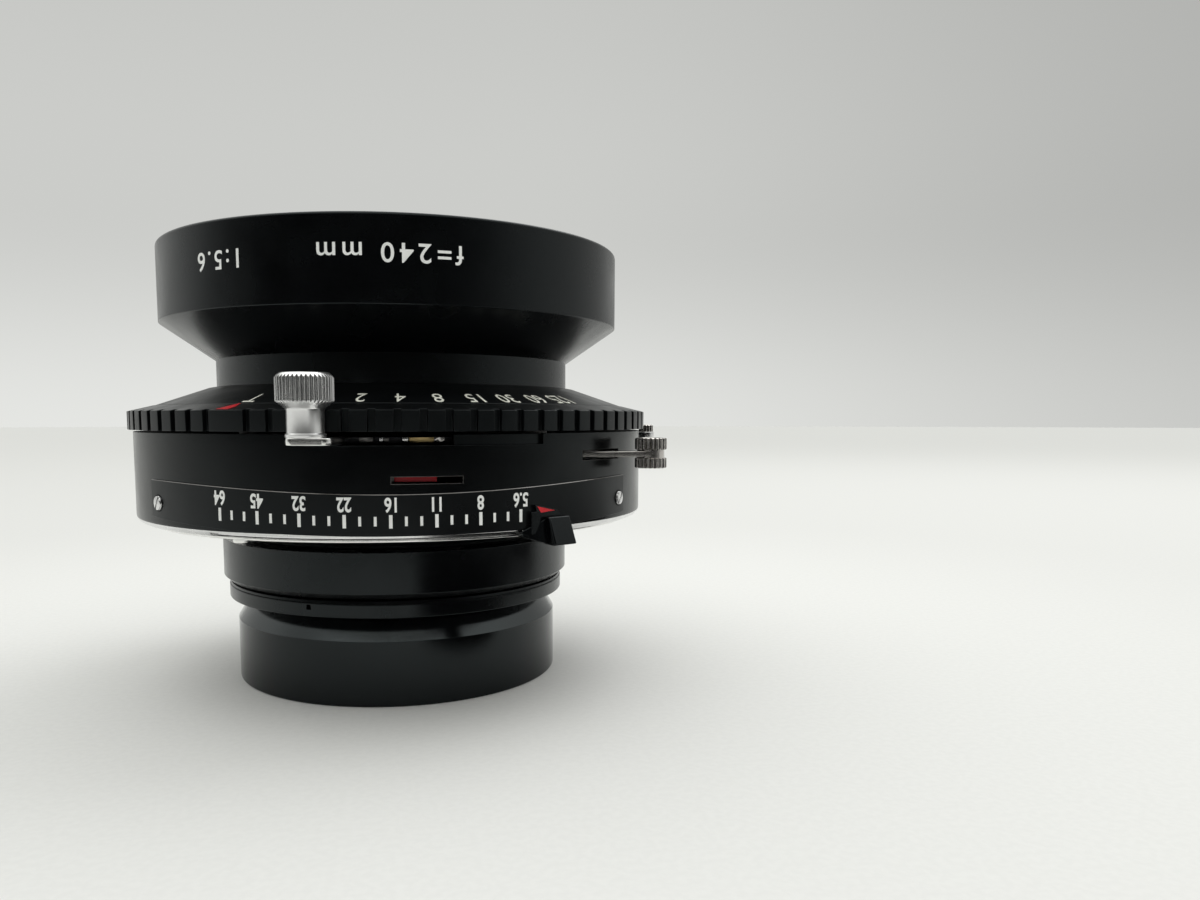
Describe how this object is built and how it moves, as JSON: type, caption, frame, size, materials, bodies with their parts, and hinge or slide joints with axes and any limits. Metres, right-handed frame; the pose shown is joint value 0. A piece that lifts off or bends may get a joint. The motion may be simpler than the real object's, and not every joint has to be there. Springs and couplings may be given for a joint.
{
  "type": "view camera lens",
  "caption": "Large-format lens in a leaf shutter, with cocking, release, preview and aperture levers, a speed ring and a rear thread with lens-board rings.",
  "frame": {"origin": "centre of the rear rim, on the optical axis, on the surface that the lens stands on", "axes": "+Z along the optical axis towards the front element, -Y towards the aperture scale"},
  "size_m": [0.1066, 0.1081, 0.0835],
  "materials": {
    "satin_black": "satin black anodised aluminium",
    "gloss_black": "smooth black enamel",
    "black_plastic": "black moulded plastic, low sheen",
    "chrome": "bright plated metal",
    "spring_steel": "drawn wire",
    "blade_steel": "blackened thin steel",
    "brass": "machined",
    "signal_red": "red enamel",
    "marking_white": "filled engraving and print",
    "glass": "polished and coated"
  },
  "bodies": {
    "shutter": {"front_cell_barrel": "satin_black", "front_lock_ring": "satin_black", "front_inner_ring": "satin_black", "rear_cell_barrel": "satin_black", "rear_spacer_ring": "satin_black", "rear_lock_ring": "satin_black", "mounting_tube": "satin_black", "flange_ring": "satin_black", "retaining_ring": "satin_black", "shutter_housing": "gloss_black", "face_plate": "gloss_black", "scale_plate": "black_plastic", "rear_plate": "chrome", "anti_twist_screw": "chrome", "scale_screw_left": "chrome", "scale_screw_right": "chrome", "cable_release_socket": "chrome", "sync_terminal": "chrome", "mainspring": "spring_steel", "blade_plate": "brass", "upper_plate": "brass", "speed_escapement": "brass", "front_crown_lens": "glass", "front_flint_lens": "glass", "front_inner_lens": "glass", "rear_inner_lens": "glass", "rear_flint_lens": "glass", "rear_crown_lens": "glass"},
    "speed_ring": {"speed_ring": "gloss_black", "speed_cam": "brass"},
    "cocking_lever": {"cocking_lever": "chrome", "cocking_knob": "chrome", "cocking_shield": "black_plastic"},
    "cocked_sign": {"cocked_sign": "signal_red"},
    "release_lever": {"release_lever": "chrome", "release_knob": "chrome"},
    "preview_lever": {"preview_lever": "chrome", "preview_knob": "chrome", "blade_drive_ring": "chrome"},
    "aperture_lever": {"aperture_ring": "chrome", "aperture_lever": "black_plastic", "iris_ring": "brass"},
    "iris_blade_1": {"iris_blade_1": "blade_steel"},
    "iris_blade_2": {"iris_blade_2": "blade_steel"},
    "iris_blade_3": {"iris_blade_3": "blade_steel"},
    "iris_blade_4": {"iris_blade_4": "blade_steel"},
    "iris_blade_5": {"iris_blade_5": "blade_steel"},
    "iris_blade_6": {"iris_blade_6": "blade_steel"},
    "iris_blade_7": {"iris_blade_7": "blade_steel"},
    "shutter_blade_1": {"shutter_blade_1": "blade_steel"},
    "shutter_blade_2": {"shutter_blade_2": "blade_steel"},
    "shutter_blade_3": {"shutter_blade_3": "blade_steel"},
    "shutter_blade_4": {"shutter_blade_4": "blade_steel"},
    "shutter_blade_5": {"shutter_blade_5": "blade_steel"}
  },
  "joints": [
    {"name": "speed_ring_turn", "type": "hinge", "parent": "shutter", "child": "speed_ring", "pos_m": [0, 0, 0.051], "axis": [0, 0, 1], "range_deg": [0, 72.3]},
    {"name": "cocking_lever_turn", "type": "hinge", "parent": "shutter", "child": "cocking_lever", "pos_m": [0, 0, 0.0479], "axis": [0, 0, 1], "range_deg": [0, 36.5], "stiffness_Nm_per_rad": 0.01},
    {"name": "cocked_sign_turn", "type": "hinge", "parent": "shutter", "child": "cocked_sign", "pos_m": [0, 0, 0.0419], "axis": [0, 0, 1], "range_deg": [0, 4.5]},
    {"name": "release_lever_turn", "type": "hinge", "parent": "shutter", "child": "release_lever", "pos_m": [0.01606, -0.03444, 0.045], "axis": [0, 0, 1], "range_deg": [-7, 0], "stiffness_Nm_per_rad": 0.01},
    {"name": "preview_lever_turn", "type": "hinge", "parent": "shutter", "child": "preview_lever", "pos_m": [0, 0, 0.0465], "axis": [0, 0, 1], "range_deg": [0, 20]},
    {"name": "aperture_lever_turn", "type": "hinge", "parent": "shutter", "child": "aperture_lever", "pos_m": [0, 0, 0.0327], "axis": [0, 0, 1], "range_deg": [-60, 0]},
    {"name": "iris_blade_1_turn", "type": "hinge", "parent": "shutter", "child": "iris_blade_1", "pos_m": [0, -0.0335, 0.0366], "axis": [0, 0, 1], "range_deg": [-0.5, 38.5]},
    {"name": "iris_blade_2_turn", "type": "hinge", "parent": "shutter", "child": "iris_blade_2", "pos_m": [0.02619, -0.02089, 0.03705], "axis": [0, 0, 1], "range_deg": [-0.5, 38.5]},
    {"name": "iris_blade_3_turn", "type": "hinge", "parent": "shutter", "child": "iris_blade_3", "pos_m": [0.03266, 0.00745, 0.0375], "axis": [0, 0, 1], "range_deg": [-0.5, 38.5]},
    {"name": "iris_blade_4_turn", "type": "hinge", "parent": "shutter", "child": "iris_blade_4", "pos_m": [0.01453, 0.03018, 0.03795], "axis": [0, 0, 1], "range_deg": [-0.5, 38.5]},
    {"name": "iris_blade_5_turn", "type": "hinge", "parent": "shutter", "child": "iris_blade_5", "pos_m": [-0.01453, 0.03018, 0.0384], "axis": [0, 0, 1], "range_deg": [-0.5, 38.5]},
    {"name": "iris_blade_6_turn", "type": "hinge", "parent": "shutter", "child": "iris_blade_6", "pos_m": [-0.03266, 0.00745, 0.03885], "axis": [0, 0, 1], "range_deg": [-0.5, 38.5]},
    {"name": "iris_blade_7_turn", "type": "hinge", "parent": "shutter", "child": "iris_blade_7", "pos_m": [-0.02619, -0.02089, 0.0393], "axis": [0, 0, 1], "range_deg": [-0.5, 38.5]},
    {"name": "shutter_blade_1_turn", "type": "hinge", "parent": "shutter", "child": "shutter_blade_1", "pos_m": [0, -0.037, 0.041], "axis": [0, 0, 1], "range_deg": [-40.3, 0.5]},
    {"name": "shutter_blade_2_turn", "type": "hinge", "parent": "shutter", "child": "shutter_blade_2", "pos_m": [0.03519, -0.01143, 0.04145], "axis": [0, 0, 1], "range_deg": [-40.3, 0.5]},
    {"name": "shutter_blade_3_turn", "type": "hinge", "parent": "shutter", "child": "shutter_blade_3", "pos_m": [0.02175, 0.02993, 0.0419], "axis": [0, 0, 1], "range_deg": [-40.3, 0.5]},
    {"name": "shutter_blade_4_turn", "type": "hinge", "parent": "shutter", "child": "shutter_blade_4", "pos_m": [-0.02175, 0.02993, 0.04235], "axis": [0, 0, 1], "range_deg": [-40.3, 0.5]},
    {"name": "shutter_blade_5_turn", "type": "hinge", "parent": "shutter", "child": "shutter_blade_5", "pos_m": [-0.03519, -0.01143, 0.0428], "axis": [0, 0, 1], "range_deg": [-40.3, 0.5]}
  ],
  "couplings": [
    {"joint": "cocked_sign_turn", "follows": "cocking_lever_turn", "ratio": 0.1178},
    {"joint": "iris_blade_1_turn", "follows": "aperture_lever_turn", "ratio": -0.63333},
    {"joint": "iris_blade_2_turn", "follows": "aperture_lever_turn", "ratio": -0.63333},
    {"joint": "iris_blade_3_turn", "follows": "aperture_lever_turn", "ratio": -0.63333},
    {"joint": "iris_blade_4_turn", "follows": "aperture_lever_turn", "ratio": -0.63333},
    {"joint": "iris_blade_5_turn", "follows": "aperture_lever_turn", "ratio": -0.63333},
    {"joint": "iris_blade_6_turn", "follows": "aperture_lever_turn", "ratio": -0.63333},
    {"joint": "iris_blade_7_turn", "follows": "aperture_lever_turn", "ratio": -0.63333},
    {"joint": "shutter_blade_1_turn", "follows": "preview_lever_turn", "ratio": -1.99},
    {"joint": "shutter_blade_2_turn", "follows": "preview_lever_turn", "ratio": -1.99},
    {"joint": "shutter_blade_3_turn", "follows": "preview_lever_turn", "ratio": -1.99},
    {"joint": "shutter_blade_4_turn", "follows": "preview_lever_turn", "ratio": -1.99},
    {"joint": "shutter_blade_5_turn", "follows": "preview_lever_turn", "ratio": -1.99}
  ]
}
